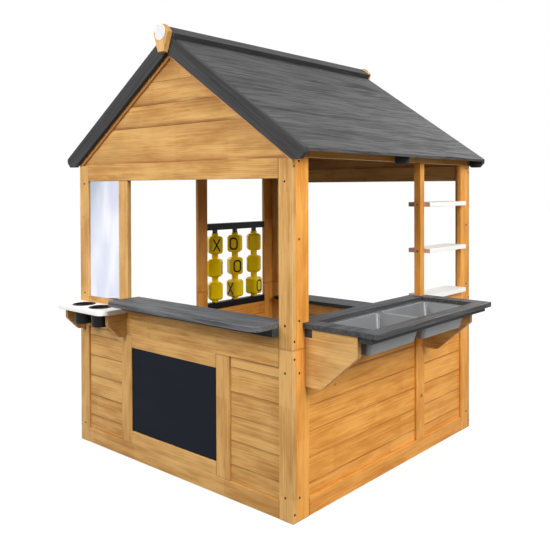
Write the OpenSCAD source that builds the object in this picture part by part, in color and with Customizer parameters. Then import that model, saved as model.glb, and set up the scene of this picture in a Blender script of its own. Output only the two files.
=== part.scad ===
// Timber playhouse with a serving counter, a sink counter, shelves and a noughts-and-crosses panel.
// Millimetres. The house is drawn with x = 0 under the ridge, y = 0 on the outer face of the front
// wall and z = 0 on the floor, and is then moved so that the origin is the middle of its plan box.

/* [House] */
// Width over the outer faces of the side walls
house_w = 1200; // [1150:10:1400]
// Depth over the outer faces of the front and back walls
house_d = 1166; // [1140:1:1400]
// Height of the front and back walls, without the gables
wall_h = 1150; // [1120:10:1300]
// Height of the lower wall panels
seam_h = 545; // [500:5:580]
// Pitch of the roof in degrees
roof_pitch = 33.5; // [28:0.5:40]

/* [Boards] */
// Thickness of the frame boards
board_t = 18; // [15:1:24]
// Width of the stiles and of the plain rails
stile_w = 60; // [45:1:75]
// Easing of the long edges
edge_ease = 1.5; // [0.5:0.5:3]
// Hairline gap where two boards butt
joint_gap = 0.2; // [0.1:0.1:0.5]
// Thickness of the cladding boards
clad_t = 10; // [8:1:14]
// Cover width of one cladding board
clad_pitch = 83; // [60:1:100]
// Height of the lowest cladding board on the front and back walls
front_clad_start = 57; // [20:1:100]
// Height of the lowest cladding board on the side walls
side_clad_start = 43; // [20:1:100]

/* [Front wall] */
// Height of the head rails over the front and back openings
head_rail_h = 65; // [50:1:80]
// Width of the post between the mirror and the serving opening
mirror_post_w = 58; // [40:1:80]
// Clear width of the mirror bay
mirror_bay_w = 217; // [150:1:300]
// Thickness of the mirror pane
mirror_t = 3; // [2:1:6]
// Set-back of the mirror from the front face
mirror_setback = 6; // [0:1:15]
// Width of the chalkboard
chalkboard_w = 488; // [300:1:560]
// Height of the chalkboard
chalkboard_h = 325; // [200:1:340]
// Thickness of the chalkboard
chalkboard_t = 9; // [4:1:12]
// Setback of the chalkboard behind the frame face
chalkboard_setback = 4; // [1:1:6]
// Width of the two posts beside the chalkboard
chalk_post_w = 65; // [40:1:80]

/* [Counters] */
// Height of the serving and sink counters
counter_h = 627; // [620:1:700]
// Thickness of the counter boards
counter_t = 18; // [15:1:24]
// Reach of the counters into the house from the outer wall face
counter_inner = 50; // [30:1:90]
// Reach of the serving counter outside the wall
serving_reach = 105; // [60:1:115]
// Radius of the outer corners of the serving counter
serving_corner_r = 35; // [10:1:50]
// Height of the serving and back ledgers
ledger_h = 25; // [15:1:40]
// Depth of the serving and back ledgers
ledger_d = 30; // [15:1:45]
// Height of the top of the back counter
back_counter_h = 474; // [400:1:520]
// Reach of the back counter outside the wall
back_reach = 99; // [60:1:150]

/* [Cup tray] */
// Length of the cup tray
tray_l = 326; // [280:1:330]
// Reach of the cup tray outside the wall
tray_reach = 122; // [116:1:160]
// Height of the top of the cup tray
tray_h = 587; // [560:1:600]
// Radius of the outer corners of the cup tray
tray_corner_r = 38; // [10:1:50]
// Distance between the two cups
cup_pitch = 118; // [100:1:140]
// Distance from the wall to the middle of the cups
cup_offset = 54; // [48:1:60]
// Diameter over the rim of a cup
cup_rim_d = 91; // [84:1:95]
// Diameter of the cup just under its rim
cup_top_d = 78; // [60:1:80]
// Diameter of the foot of the cup
cup_foot_d = 68; // [50:1:76]
// Depth of the cup below the tray surface
cup_depth = 75; // [40:1:90]
// Wall thickness of the cup
cup_wall = 2.5; // [1.5:0.5:4]
// Play all round between a cup and its hole
cup_play = 1; // [0.5:0.5:3]
// Inset of the tray brackets from the tray ends
tray_bracket_inset = 12; // [5:1:40]
// Reach of the tray brackets
tray_bracket_reach = 82; // [50:1:100]
// Height of the tray brackets
tray_bracket_h = 94; // [70:1:120]

/* [Sink] */
// Reach of the sink counter outside the wall
sink_reach = 285; // [260:1:340]
// Length of the sink counter
sink_l = 750; // [740:1:800]
// Distance from the front of the house to the sink counter
sink_start = 47; // [30:1:70]
// Clear width of the sink opening
sink_opening_w = 679; // [600:1:700]
// Corner radius of the sink counter
sink_corner_r = 5; // [3:1:30]
// Width of the counter's end rails beside the cut-out
sink_rail = 54; // [40:1:70]
// Width of the counter's outer rail
sink_front_rail = 50; // [40:1:60]
// Width of the strip between the wall and the cut-out
sink_back_rail = 12; // [8:1:20]
// Depth of the ledger under the sink counter
sink_ledger_d = 30; // [20:1:34]
// Height of the ledger under the sink counter
sink_ledger_h = 29; // [20:1:40]
// Width of the apron under the outer rail
apron_w = 45; // [30:1:50]
// Distance from the counter's outer edge to the apron
apron_inset = 22; // [10:1:30]
// Distance from the ends of the sink counter to its brackets
bracket_inset = 10; // [5:1:20]
// Reach of the sink brackets
bracket_reach = 210; // [150:1:215]
// Height of the sink brackets
bracket_h = 187; // [120:1:200]
// Depth of the brackets' front edge
bracket_nose = 65; // [40:1:80]
// Width of the brackets' foot at the wall
bracket_foot = 67; // [40:1:90]
// Thickness of a basin's flange
flange_t = 3; // [2:0.5:5]
// Wall thickness of a basin
basin_wall = 2.5; // [2:0.5:4]
// Depth of a basin below its flange
basin_depth = 77; // [50:1:100]
// Width of a basin's flange beside the bowl
flange_w = 9; // [6:1:14]
// Inward slope of a basin's walls from rim to floor
basin_draft = 16; // [4:1:24]
// Corner radius of a basin's bowl
basin_corner_r = 12; // [8:1:30]
// Play between the basins, and between them and the cut-out
basin_play = 1; // [0.5:0.5:3]

/* [Shelves] */
// Side of the square post between the sink opening and the shelves
shelf_post_w = 30; // [24:1:40]
// Depth of a shelf board
shelf_d = 100; // [60:1:140]
// Part of the shelf depth that stands outside the wall
shelf_out = 25; // [0:1:60]
// Distance between shelf tops
shelf_pitch = 185; // [120:1:230]
// Number of shelves
shelf_count = 3; // [1:1:3]

/* [Left wall] */
// Height of the door sill rail
door_sill_h = 60; // [30:1:100]
// Height of the top of the panel under the game
game_sill_h = 447; // [380:1:460]

/* [Game] */
// Height of the game bars
bar_h = 33; // [25:1:45]
// Depth of the game bars
bar_d = 36; // [30:1:50]
// Clear height between the two game bars
game_clear_h = 365; // [365:1:420]
// Distance between the rods
rod_pitch = 137; // [120:1:145]
// Gap between the outer tumblers and the frame of the bay
game_side_gap = 28; // [12:1:60]
// Radius of a rod
rod_r = 4; // [3:0.5:6]
// Depth of a rod in each bar
rod_seat = 20; // [10:1:24]
// Running clearance round a rod
rod_play = 0.08; // [0.05:0.01:0.1]
// Width of a tumbler across its faces
tumbler_w = 72; // [50:1:76]
// Radius of the rounded corners between the faces of a tumbler
tumbler_corner_r = 18; // [8:1:22]
// Height of a tumbler with its two collars
tumbler_h = 116; // [100:1:116]
// Height of one collar
collar_h = 14; // [8:1:20]
// Diameter of a collar
collar_d = 34; // [22:1:38]
// Shoulder chamfer of a tumbler
shoulder = 9; // [3:1:12]
// Gap between stacked tumblers
stack_gap = 0.3; // [0.2:0.1:0.6]
// Diameter of the spacer under the upper bar
spacer_d = 26; // [12:1:32]

/* [Roof] */
// Reach of the roof beyond the side walls
eave_reach = 65; // [50:1:120]
// Thickness of the roof panels
roof_t = 10; // [6:1:16]
// Depth of the bargeboards, square to the slope
barge_h = 60; // [45:1:80]
// Bevel at the toe of the bargeboards
barge_toe = 19; // [8:1:30]
// Reach of the rake battens below the bargeboards, square to the slope
rake_show = 12; // [0:1:25]
// Height of the lowest gable board above the wall
gable_first = 136; // [80:1:150]
// Width of a ridge board
ridge_w = 48; // [40:1:80]
// Thickness of a ridge board
ridge_t = 22; // [12:1:26]
// Height of the side walls' top rail above the front wall
side_head = 2; // [0:1:20]
// Height to which a mid rafter is notched over the side wall
rafter_lap = 33; // [20:1:40]
// Thickness of a finial
finial_t = 24; // [16:1:30]
// Width of a finial at its shoulders
finial_w = 83; // [60:1:100]
// Width of a finial at its top and foot
finial_end_w = 30; // [20:1:50]
// Height of a finial
finial_h = 100; // [80:1:130]
// Height of the shoulders below the top of a finial
finial_shoulder = 27; // [15:1:40]
// Diameter of the plain disc on the front finial
disc_d = 58; // [30:1:60]
// Thickness of the disc
disc_t = 2; // [1:0.5:4]

/* [Screws] */
// Diameter of a screw head
screw_d = 8; // [6:1:10]
// Height of a screw head
screw_h = 1.2; // [0.8:0.2:2]
// Distance of the frame screws from the side edge of the wall
screw_inset = 33; // [20:1:40]
// Distance of the frame screws from the ends of a stile
screw_end = 75; // [50:1:90]
// Distance of the two highest side screws below the top of the front wall
side_screw_drop = 257; // [200:1:300]
side_screw_top_drop = 11; // [5:1:30]
// Extra height of the lowest screw in the upper side stiles
side_screw_lift = 15; // [0:1:30]
// Distance of the side screws from the ends of the side wall
side_screw_inset = 13; // [8:1:30]
// Distance of the edge screws from the front and back faces
edge_screw_inset = 8; // [5:1:12]
// Distance of the edge screws from the ends of the wall panels
edge_screw_end = 28; // [15:1:60]

/* [Hidden] */

// Half of the house width
half_w = house_w / 2;
// Ends of the side walls, which stand between the front and back walls
side_y0 = board_t;
side_y1 = house_d - board_t;
// Roof lines: the lower edge of the rakes starts from the top corner of the front wall
apex_z = wall_h + half_w * tan(roof_pitch) + barge_h / cos(roof_pitch);
eave_x = half_w + eave_reach;
roof_drop = roof_t / cos(roof_pitch);
ridge_top_z = apex_z + ridge_t / cos(roof_pitch);
// Gable field between the rake battens: its top corner, and half its width at the head rail
gable_top_z = apex_z - (barge_h + rake_show) / cos(roof_pitch);
gable_half = (gable_top_z - wall_h) / tan(roof_pitch);
// Undersides of the counters, which rest on the sill rails
sill_z = counter_h - counter_t;
back_sill_z = back_counter_h - counter_t;
// Front wall: posts and openings
mirror_x0 = -half_w + stile_w;
mirror_x1 = mirror_x0 + mirror_bay_w;
serving_x0 = mirror_x1 + mirror_post_w;
serving_x1 = half_w - stile_w;
head_z = wall_h - head_rail_h;
// Side walls
side_head_z = wall_h + side_head;
side_top_z = apex_z - roof_drop - half_w * tan(roof_pitch) - joint_gap;
side_stile0 = side_y0 + stile_w;
side_stile1 = side_y1 - stile_w;
post_y0 = side_stile0 + sink_opening_w;
post_y1 = post_y0 + shelf_post_w;
game_w = 2 * rod_pitch + tumbler_w + 2 * game_side_gap;
game_y0 = side_stile1 - game_w;
// The doorway takes the width that the game bay and its stile leave
door_w = game_y0 - stile_w - side_stile0;
door_y1 = side_stile0 + door_w;
// Outer faces of the two sink brackets
bracket_y0 = sink_start + bracket_inset;
bracket_y1 = sink_start + sink_l - bracket_inset;
// Chalkboard bay
chalk_half = chalkboard_w / 2;
chalk_strip = (seam_h - 2 * stile_w - chalkboard_h) / 2;
// Cup tray
tray_x1 = serving_x0;
tray_xm = tray_x1 - tray_l / 2;
tray_z0 = tray_h - board_t;
// Sink cut-out and basins, with x measured from the wall face
cut_x0 = sink_back_rail;
cut_x1 = sink_reach - sink_front_rail;
cut_y0 = sink_start + sink_rail;
cut_y1 = sink_start + sink_l - sink_rail;
basin_l = (cut_y1 - cut_y0 - 3 * basin_play) / 2;
bowl_x0 = sink_ledger_d + basin_play;
bowl_x1 = sink_reach - apron_inset - apron_w - basin_play;
// Game panel
game_x = -half_w + board_t - bar_d / 2;
game_ym = (game_y0 + side_stile1) / 2;
bar_z0 = game_sill_h + joint_gap;
tumbler_z0 = bar_z0 + bar_h;
upper_bar_z0 = tumbler_z0 + game_clear_h;
// Turn of each tumbler at rest, by column and then row from the top, in degrees
tumbler_turn = [[-28, 218, -122], [127, 157, -84], [52, 39, 188]];
// Heights of the screws on a side stile, and on the edge of the front and back walls
side_screws = [screw_end, seam_h - screw_end, seam_h + screw_end + side_screw_lift,
               wall_h - side_screw_drop, wall_h - side_screw_top_drop];
edge_screws = [edge_screw_end, seam_h - edge_screw_end, seam_h + edge_screw_end,
               wall_h - edge_screw_end];
// Fine circles
$fn = 64;
// Corner steps of the rounded outlines, and of the basins
arc_steps = 8;
basin_steps = 5;
// Plan box of the whole object, whose middle is the origin
plan_x = (sink_reach - eave_reach) / 2;
plan_y = (house_d + back_reach - tray_reach) / 2;

// Height of the roof surface over x
function roof_z(x) = apex_z - tan(roof_pitch) * abs(x);

// Outline p with corner i rounded to radius r[i]
function rounded(p, r, steps = arc_steps) = [
    for (i = [0 : len(p) - 1])
        let (
            a = p[(i + len(p) - 1) % len(p)] - p[i],
            b = p[(i + 1) % len(p)] - p[i],
            ua = a / norm(a),
            ub = b / norm(b),
            half = acos(ua * ub) / 2,
            c = p[i] + (ua + ub) / norm(ua + ub) * r[i] / sin(half),
            s = p[i] + ua * r[i] / tan(half) - c,
            e = p[i] + ub * r[i] / tan(half) - c,
            sweep = 180 - 2 * half,
            turn = s.x * e.y - s.y * e.x > 0 ? 1 : -1
        )
        each r[i] == 0 ? [p[i]] : [
            for (k = [0 : steps])
                let (g = turn * sweep * k / steps)
                c + [s.x * cos(g) - s.y * sin(g), s.x * sin(g) + s.y * cos(g)]
        ]
];

// Rectangle with eased corners
module eased(a, b) {
    e = edge_ease;
    polygon([[e, 0], [a - e, 0], [a, e], [a, b - e], [a - e, b], [e, b], [0, b - e], [0, e]]);
}

// Boards whose long edges are eased and run along x, y or z, from corner p with size s
module board_x(p, s) {
    translate(p) rotate([90, 0, 90]) linear_extrude(s.x) eased(s.y, s.z);
}

module board_y(p, s) {
    translate(p + [0, s.y, 0]) rotate([90, 0, 0]) linear_extrude(s.y) eased(s.x, s.z);
}

module board_z(p, s) {
    translate(p) linear_extrude(s.z) eased(s.x, s.y);
}

// Plate of outline p, from z0 upwards
module plate(p, z0, t) {
    translate([0, 0, z0]) linear_extrude(t) polygon(p);
}

// Upright plate of x-z outline p, from y0 backwards
module upright(p, y0, t) {
    translate([0, y0 + t, 0]) rotate([90, 0, 0]) linear_extrude(t) polygon(p);
}

// Moves the house so that the origin is the middle of its plan box
module in_frame() {
    translate([-plan_x, -plan_y, 0]) children();
}

// Walls are drawn lying along x with their outer face at y = 0, seen from outside
module on_front() { translate([-half_w, 0, 0]) children(); }

module on_sink_wall() { translate([half_w, 0, 0]) rotate(90) children(); }

module on_back() { translate([half_w, house_d, 0]) rotate(180) children(); }

module on_left_wall() { translate([-half_w, house_d, 0]) rotate(-90) children(); }

// Upright board of a wall, from u0 to u1 and z0 to z1
module stile(u0, u1, z0, z1) {
    board_z([u0, 0, z0 + (z0 > 0 ? joint_gap : 0)], [u1 - u0, board_t, z1 - z0 - (z0 > 0 ? joint_gap : 0)]);
}

// Level board of a wall, fitted between two stiles
module rail(u0, u1, z0, z1) {
    board_x([u0 + joint_gap, 0, z0], [u1 - u0 - 2 * joint_gap, board_t, z1 - z0]);
}

// Cladding that fills a bay from z0 to z1, its first board start high, set flush with the inside
module cladding(u0, u1, z0, z1, start) {
    n = ceil((z1 - z0 - start) / clad_pitch);
    for (i = [0 : n]) {
        low = i == 0 ? z0 : z0 + start + (i - 1) * clad_pitch;
        high = min(z1, z0 + start + i * clad_pitch);
        board_x([u0 + joint_gap, board_t - clad_t, low + joint_gap],
                [u1 - u0 - 2 * joint_gap, clad_t, high - low - 2 * joint_gap]);
    }
}

// Screw head standing on a face that looks towards -y
module screw_head() {
    rotate([90, 0, 0]) difference() {
        cylinder(h = screw_h, d1 = screw_d, d2 = screw_d * 0.8, $fn = 24);
        translate([0, 0, screw_h / 2]) cylinder(h = screw_h, d = screw_d * 0.4, $fn = 6);
    }
}

// Front wall
module front_lower_frame() {
    color("#cf9858") in_frame() on_front() {
        stile(0, stile_w, 0, seam_h);
        stile(house_w - stile_w, house_w, 0, seam_h);
        rail(stile_w, house_w - stile_w, 0, stile_w);
        rail(stile_w, house_w - stile_w, seam_h - stile_w, seam_h);
        for (side = [-1, 1])
            translate([half_w + side * (chalk_half + chalk_post_w / 2) - chalk_post_w / 2, 0, 0])
                board_z([0, 0, stile_w + joint_gap],
                        [chalk_post_w, board_t, seam_h - 2 * stile_w - 2 * joint_gap]);
        for (z = [stile_w, seam_h - stile_w - chalk_strip])
            rail(half_w - chalk_half, half_w + chalk_half, z + joint_gap, z + chalk_strip - joint_gap);
    }
}

module front_cladding() {
    color("#d8a468") in_frame() on_front() {
        for (u = [[stile_w, half_w - chalk_half - chalk_post_w],
                  [half_w + chalk_half + chalk_post_w, house_w - stile_w]])
            cladding(u[0], u[1], stile_w, seam_h - stile_w, front_clad_start);
    }
}

module chalkboard() {
    color("#1f2630") in_frame()
        translate([-chalk_half + joint_gap, chalkboard_setback, stile_w + chalk_strip + joint_gap])
            cube([chalkboard_w - 2 * joint_gap, chalkboard_t, chalkboard_h - 2 * joint_gap]);
}

module front_upper_frame() {
    color("#cf9858") in_frame() on_front() {
        stile(0, stile_w, seam_h, wall_h);
        stile(house_w - stile_w, house_w, seam_h, wall_h);
        rail(stile_w, house_w - stile_w, seam_h + joint_gap, sill_z);
        rail(stile_w, house_w - stile_w, head_z, wall_h);
        stile(half_w + mirror_x1, half_w + serving_x0, sill_z, head_z - joint_gap);
    }
}

module mirror() {
    color("#c3cbe0") in_frame()
        translate([mirror_x0 + joint_gap, mirror_setback, sill_z + joint_gap])
            cube([mirror_bay_w - 2 * joint_gap, mirror_t, head_z - sill_z - 2 * joint_gap]);
}

// Sink wall, on the right
module sink_wall_lower_frame() {
    color("#e8a04c") in_frame() on_sink_wall() {
        stile(side_y0, side_stile0, 0, seam_h);
        stile(side_stile1, side_y1, 0, seam_h);
        rail(side_stile0, side_stile1, 0, stile_w);
        rail(side_stile0, side_stile1, seam_h - stile_w, seam_h);
        stile(post_y1 - stile_w, post_y1, stile_w, seam_h - stile_w - joint_gap);
    }
}

module sink_wall_cladding() {
    color("#eda551") in_frame() on_sink_wall() {
        cladding(side_stile0, post_y1 - stile_w, stile_w, seam_h - stile_w, side_clad_start);
        cladding(post_y1, side_stile1, stile_w, seam_h - stile_w, side_clad_start);
    }
}

// Top rail of a side wall with the notch that takes the mid rafter
module side_top_rail() {
    difference() {
        rail(side_stile0, side_stile1, side_head_z, side_top_z);
        translate([house_d / 2 - board_t / 2 - joint_gap, -board_t, side_head_z + rafter_lap])
            cube([board_t + 2 * joint_gap, 3 * board_t, side_top_z]);
    }
}

module sink_wall_upper_frame() {
    color("#e8a04c") in_frame() on_sink_wall() {
        stile(side_y0, side_stile0, seam_h, side_top_z);
        stile(side_stile1, side_y1, seam_h, side_top_z);
        rail(side_stile0, side_stile1, seam_h + joint_gap, sill_z);
        side_top_rail();
    }
}

module shelf_post() {
    color("#e8a04c") in_frame() on_sink_wall()
        board_z([post_y0, 0, sill_z + joint_gap],
                [shelf_post_w, shelf_post_w, side_head_z - sill_z - 2 * joint_gap]);
}

// Left wall, drawn from the back corner to the front corner
module left_wall_lower_frame() {
    color("#c98a45") in_frame() on_left_wall() {
        stile(side_y0, side_stile0, 0, seam_h);
        stile(side_stile1, side_y1, 0, seam_h);
        stile(house_d - game_y0, house_d - door_y1, 0, seam_h);
        rail(house_d - door_y1, side_stile1, 0, door_sill_h);
        rail(side_stile0, house_d - game_y0, 0, stile_w);
        rail(side_stile0, house_d - game_y0, game_sill_h - stile_w, game_sill_h);
    }
}

module left_wall_cladding() {
    color("#d09450") in_frame() on_left_wall()
        cladding(side_stile0, house_d - game_y0, stile_w, game_sill_h - stile_w, side_clad_start);
}

module left_wall_upper_frame() {
    color("#c98a45") in_frame() on_left_wall() {
        stile(side_y0, side_stile0, seam_h, side_top_z);
        stile(side_stile1, side_y1, seam_h, side_top_z);
        stile(house_d - game_y0, house_d - door_y1, seam_h, side_head_z - joint_gap);
        side_top_rail();
    }
}

// Back wall
module back_lower_frame() {
    color("#c98a45") in_frame() on_back() {
        stile(0, stile_w, 0, seam_h);
        stile(house_w - stile_w, house_w, 0, seam_h);
        rail(stile_w, house_w - stile_w, 0, stile_w);
        rail(stile_w, house_w - stile_w, back_sill_z - stile_w, back_sill_z);
    }
}

module back_cladding() {
    color("#d09450") in_frame() on_back()
        cladding(stile_w, house_w - stile_w, stile_w, back_sill_z - stile_w, front_clad_start);
}

module back_upper_frame() {
    color("#c98a45") in_frame() on_back() {
        stile(0, stile_w, seam_h, wall_h);
        stile(house_w - stile_w, house_w, seam_h, wall_h);
        rail(stile_w, house_w - stile_w, head_z, wall_h);
    }
}

// Gables, drawn at the front and turned round for the back
module at_gable(back) {
    in_frame() translate([0, back ? house_d : 0, 0]) rotate(back ? 180 : 0) children();
}

// Level boards between the rakes and cut to them, set back like the cladding of the walls
module gable_boards() {
    slope_gap = joint_gap / cos(roof_pitch);
    tops = [for (z = wall_h + gable_first; z < gable_top_z - clad_pitch / 4; z = z + clad_pitch) z];
    for (i = [0 : len(tops)]) {
        low = (i == 0 ? wall_h : tops[i - 1]) + joint_gap;
        high = (i == len(tops) ? gable_top_z : tops[i]) - joint_gap;
        intersection() {
            board_x([-gable_half, board_t - clad_t, low], [2 * gable_half, clad_t, high - low]);
            upright([[-gable_half, wall_h - slope_gap], [gable_half, wall_h - slope_gap],
                     [0, gable_top_z - slope_gap]], 0, board_t);
        }
    }
}

// Rake battens under the roof panels, which stand on the head rail
module gable_battens() {
    for (side = [-1, 1])
        upright([[0, apex_z - roof_drop], [side * half_w, roof_z(half_w) - roof_drop],
                 [side * half_w, wall_h], [side * gable_half, wall_h], [0, gable_top_z]], 0, board_t);
}

module front_gable_boards() { color("#cf9858") at_gable(false) gable_boards(); }

module back_gable_boards() { color("#c98a45") at_gable(true) gable_boards(); }

module front_gable_battens() { color("#b9803f") at_gable(false) gable_battens(); }

module back_gable_battens() { color("#b9803f") at_gable(true) gable_battens(); }

// Roof: side is 1 for the right slope and -1 for the left
module roof_panel(side) {
    color("#6a6a6a") in_frame()
        upright([[0, apex_z], [side * eave_x, roof_z(eave_x)],
                 [side * eave_x, roof_z(eave_x) - roof_drop], [0, apex_z - roof_drop]], 0, house_d);
}

module left_roof_panel() { roof_panel(-1); }

module right_roof_panel() { roof_panel(1); }

// Slope board from the ridge to the eave, with a level foot and a bevelled toe
module slope_board(side, top_drop, y0) {
    foot_z = wall_h - barge_toe / 3;
    foot_x = half_w + (wall_h - foot_z) / tan(roof_pitch);
    upright([[0, apex_z - top_drop], [side * eave_x, roof_z(eave_x) - top_drop],
             [side * eave_x, foot_z + barge_toe], [side * (eave_x - barge_toe), foot_z],
             [side * foot_x, foot_z], [0, apex_z - barge_h / cos(roof_pitch)]], y0, board_t);
}

module bargeboard(side, y0) {
    color("#454545") in_frame() slope_board(side, 0, y0);
}

module front_left_bargeboard() { bargeboard(-1, -board_t); }

module front_right_bargeboard() { bargeboard(1, -board_t); }

module back_left_bargeboard() { bargeboard(-1, house_d); }

module back_right_bargeboard() { bargeboard(1, house_d); }

// Rafter half way along the house, lapped over the side wall
module mid_rafter(side) {
    notch_z = side_head_z + rafter_lap;
    color("#454545") in_frame() difference() {
        slope_board(side, roof_drop, house_d / 2 - board_t / 2);
        translate([side * (half_w - board_t / 2) - board_t / 2 - joint_gap, 0, 0])
            cube([board_t + 2 * joint_gap, house_d, notch_z + joint_gap]);
    }
}

module left_mid_rafter() { mid_rafter(-1); }

module right_mid_rafter() { mid_rafter(1); }

module ridge_board(side) {
    foot = [side * ridge_w * cos(roof_pitch), apex_z - ridge_w * sin(roof_pitch)];
    lift = ridge_t * [side * sin(roof_pitch), cos(roof_pitch)];
    color("#3c3c3c") in_frame()
        upright([[0, apex_z], foot, foot + lift, [0, ridge_top_z]], -board_t, house_d + 2 * board_t);
}

module left_ridge_board() { ridge_board(-1); }

module right_ridge_board() { ridge_board(1); }

module finial(y0) {
    top = ridge_top_z;
    w = finial_w / 2;
    e = finial_end_w / 2;
    color("#c98d4c") in_frame()
        upright([[-e, top], [e, top], [w, top - finial_shoulder], [e, top - finial_h],
                 [-e, top - finial_h], [-w, top - finial_shoulder]], y0, finial_t);
}

module front_finial() { finial(-board_t - finial_t); }

module back_finial() { finial(house_d + board_t); }

module finial_disc() {
    color("white") in_frame()
        translate([0, -board_t - finial_t, ridge_top_z - finial_shoulder - disc_t])
            rotate([90, 0, 0]) cylinder(h = disc_t, d = disc_d);
}

// Serving counter
module serving_counter() {
    x0 = serving_x0 + joint_gap;
    x1 = serving_x1 - joint_gap;
    r = serving_corner_r;
    color("#70777b") in_frame()
        plate(rounded([[x0, -serving_reach], [x1, -serving_reach], [x1, counter_inner],
                       [x0, counter_inner]], [r, r, 0, 0]), sill_z, counter_t);
}

module serving_counter_ledger() {
    color("#4a4a4a") in_frame()
        board_x([serving_x0 + joint_gap, -ledger_d, sill_z - ledger_h],
                [serving_x1 - serving_x0 - 2 * joint_gap, ledger_d, ledger_h]);
}

// Cup tray
module cup_tray() {
    r = tray_corner_r;
    color("white") in_frame() difference() {
        plate(rounded([[tray_x1 - tray_l, -tray_reach], [tray_x1 - joint_gap, -tray_reach],
                       [tray_x1 - joint_gap, 0], [tray_x1 - tray_l, 0]], [r, r, 0, 0]),
              tray_z0, board_t);
        for (side = [-1, 1])
            translate([tray_xm + side * cup_pitch / 2, -cup_offset, tray_z0 - 1])
                cylinder(h = board_t + 2, d = cup_top_d + 2 * cup_play);
    }
}

// Side-on bracket with a level top at z_top, drawn reaching towards +x from the wall
module tray_bracket() {
    r = tray_bracket_reach;
    h = tray_bracket_h;
    nose = h * 0.45;
    upright(rounded([[0, 0], [r, 0], [r, -nose], [r - (h - nose), -h], [0, -h]],
                    [0, 2, 12, 8, 0]), -board_t / 2, board_t);
}

module cup_tray_brackets() {
    ends = tray_l / 2 - tray_bracket_inset - board_t / 2;
    color("#cf9858") in_frame()
        for (side = [-1, 1])
            translate([tray_xm + side * ends, 0, tray_z0]) rotate(-90) tray_bracket();
}

module cup(side) {
    rim = cup_rim_d / 2;
    top = cup_top_d / 2;
    foot = cup_foot_d / 2;
    w = cup_wall;
    color("#12151c") in_frame() translate([tray_xm + side * cup_pitch / 2, -cup_offset, tray_h])
        rotate_extrude()
            polygon([[0, -cup_depth], [foot - w, -cup_depth], [foot, w - cup_depth], [top, 0],
                     [rim, 0], [rim, w / 2], [rim - w, w], [top, w], [top - w, 0],
                     [foot - w, 2 * w - cup_depth], [foot - 2 * w, w - cup_depth], [0, w - cup_depth]]);
}

module left_cup() { cup(-1); }

module right_cup() { cup(1); }

// Sink counter: the outer board with its cut-out, and the tongue through the opening
module sink_counter() {
    y1 = sink_start + sink_l;
    r = sink_corner_r;
    color("#70777b") in_frame() translate([half_w, 0, 0]) difference() {
        plate(rounded([[0, sink_start], [sink_reach, sink_start], [sink_reach, y1], [0, y1],
                       [0, post_y0 - joint_gap], [-counter_inner, post_y0 - joint_gap],
                       [-counter_inner, side_stile0 + joint_gap], [0, side_stile0 + joint_gap]],
                      [0, r, r, 0, 0, 0, 0, 0]), sill_z, counter_t);
        translate([cut_x0, cut_y0, sill_z - 1])
            cube([cut_x1 - cut_x0, cut_y1 - cut_y0, counter_t + 2]);
    }
}

module sink_counter_ledger() {
    color("#4a4a4a") in_frame()
        board_y([half_w, bracket_y0, sill_z - sink_ledger_h],
                [sink_ledger_d, bracket_y1 - bracket_y0, sink_ledger_h]);
}

module sink_counter_apron() {
    color("#555555") in_frame()
        board_y([half_w + sink_reach - apron_inset - apron_w, bracket_y0, sill_z - board_t],
                [apron_w, bracket_y1 - bracket_y0, board_t]);
}

// Bracket with the notch that takes the ledger, from y0 backwards
module sink_bracket(y0) {
    d = sink_ledger_d + joint_gap;
    h = sink_ledger_h + joint_gap;
    color("#d9a05a") in_frame() translate([half_w, 0, sill_z])
        upright(rounded([[0, -h], [d, -h], [d, 0], [bracket_reach, 0], [bracket_reach, -bracket_nose],
                         [bracket_foot, -bracket_h], [0, -bracket_h]],
                        [0, 0, 0, 2, 2, 3, 0]), y0, board_t);
}

module near_sink_bracket() { sink_bracket(bracket_y0); }

module far_sink_bracket() { sink_bracket(bracket_y1 - board_t); }

// Rounded rectangle of a basin, from corner a to corner b
module bowl_slice(a, b, z, r) {
    translate([0, 0, z]) linear_extrude(0.01)
        polygon(rounded([a, [b.x, a.y], b, [a.x, b.y]], [r, r, r, r], basin_steps));
}

// Basin with its flange from y0 onwards, hung between the ledger and the apron
module basin(y0) {
    y1 = y0 + basin_l;
    w = basin_wall;
    g = [basin_draft, basin_draft];
    a = [bowl_x0, y0 + flange_w];
    b = [bowl_x1, y1 - flange_w];
    wall = [w, w];
    floor_z = sill_z + flange_t - basin_depth;
    color("#8f8f8f") in_frame() translate([half_w, 0, 0]) difference() {
        union() {
            plate([[cut_x0 + basin_play, y0], [cut_x1 - basin_play, y0], [cut_x1 - basin_play, y1],
                   [cut_x0 + basin_play, y1]], sill_z, flange_t);
            hull() {
                bowl_slice(a, b, sill_z + flange_t / 2, basin_corner_r);
                bowl_slice(a + g, b - g, floor_z - w, basin_corner_r - w);
            }
        }
        hull() {
            bowl_slice(a + wall, b - wall, sill_z + flange_t, basin_corner_r - w);
            bowl_slice(a + wall + g, b - wall - g, floor_z, basin_corner_r - 2 * w);
        }
    }
}

module near_basin() { basin(cut_y0 + basin_play); }

module far_basin() { basin(cut_y1 - basin_play - basin_l); }

// Shelves between the post and the far stile, the lowest one notched round the end of the sink counter
module shelves() {
    color("#fcfaee") in_frame() difference() {
        for (i = [0 : shelf_count - 1])
            board_y([half_w + shelf_out - shelf_d, post_y1 + joint_gap,
                     counter_h - board_t + i * shelf_pitch],
                    [shelf_d, side_stile1 - post_y1 - 2 * joint_gap, board_t]);
        translate([half_w - joint_gap, sink_start, sill_z - board_t])
            cube([sink_reach, sink_l + joint_gap, counter_t + 2 * board_t]);
    }
}

// Back counter
module back_counter() {
    w = half_w - stile_w - joint_gap;
    y1 = house_d + back_reach;
    y0 = house_d - counter_inner;
    r = serving_corner_r;
    color("#4e565b") in_frame()
        plate(rounded([[-w, y0], [w, y0], [w, y1], [-w, y1]], [0, 0, r, r]), back_sill_z, counter_t);
}

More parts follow.
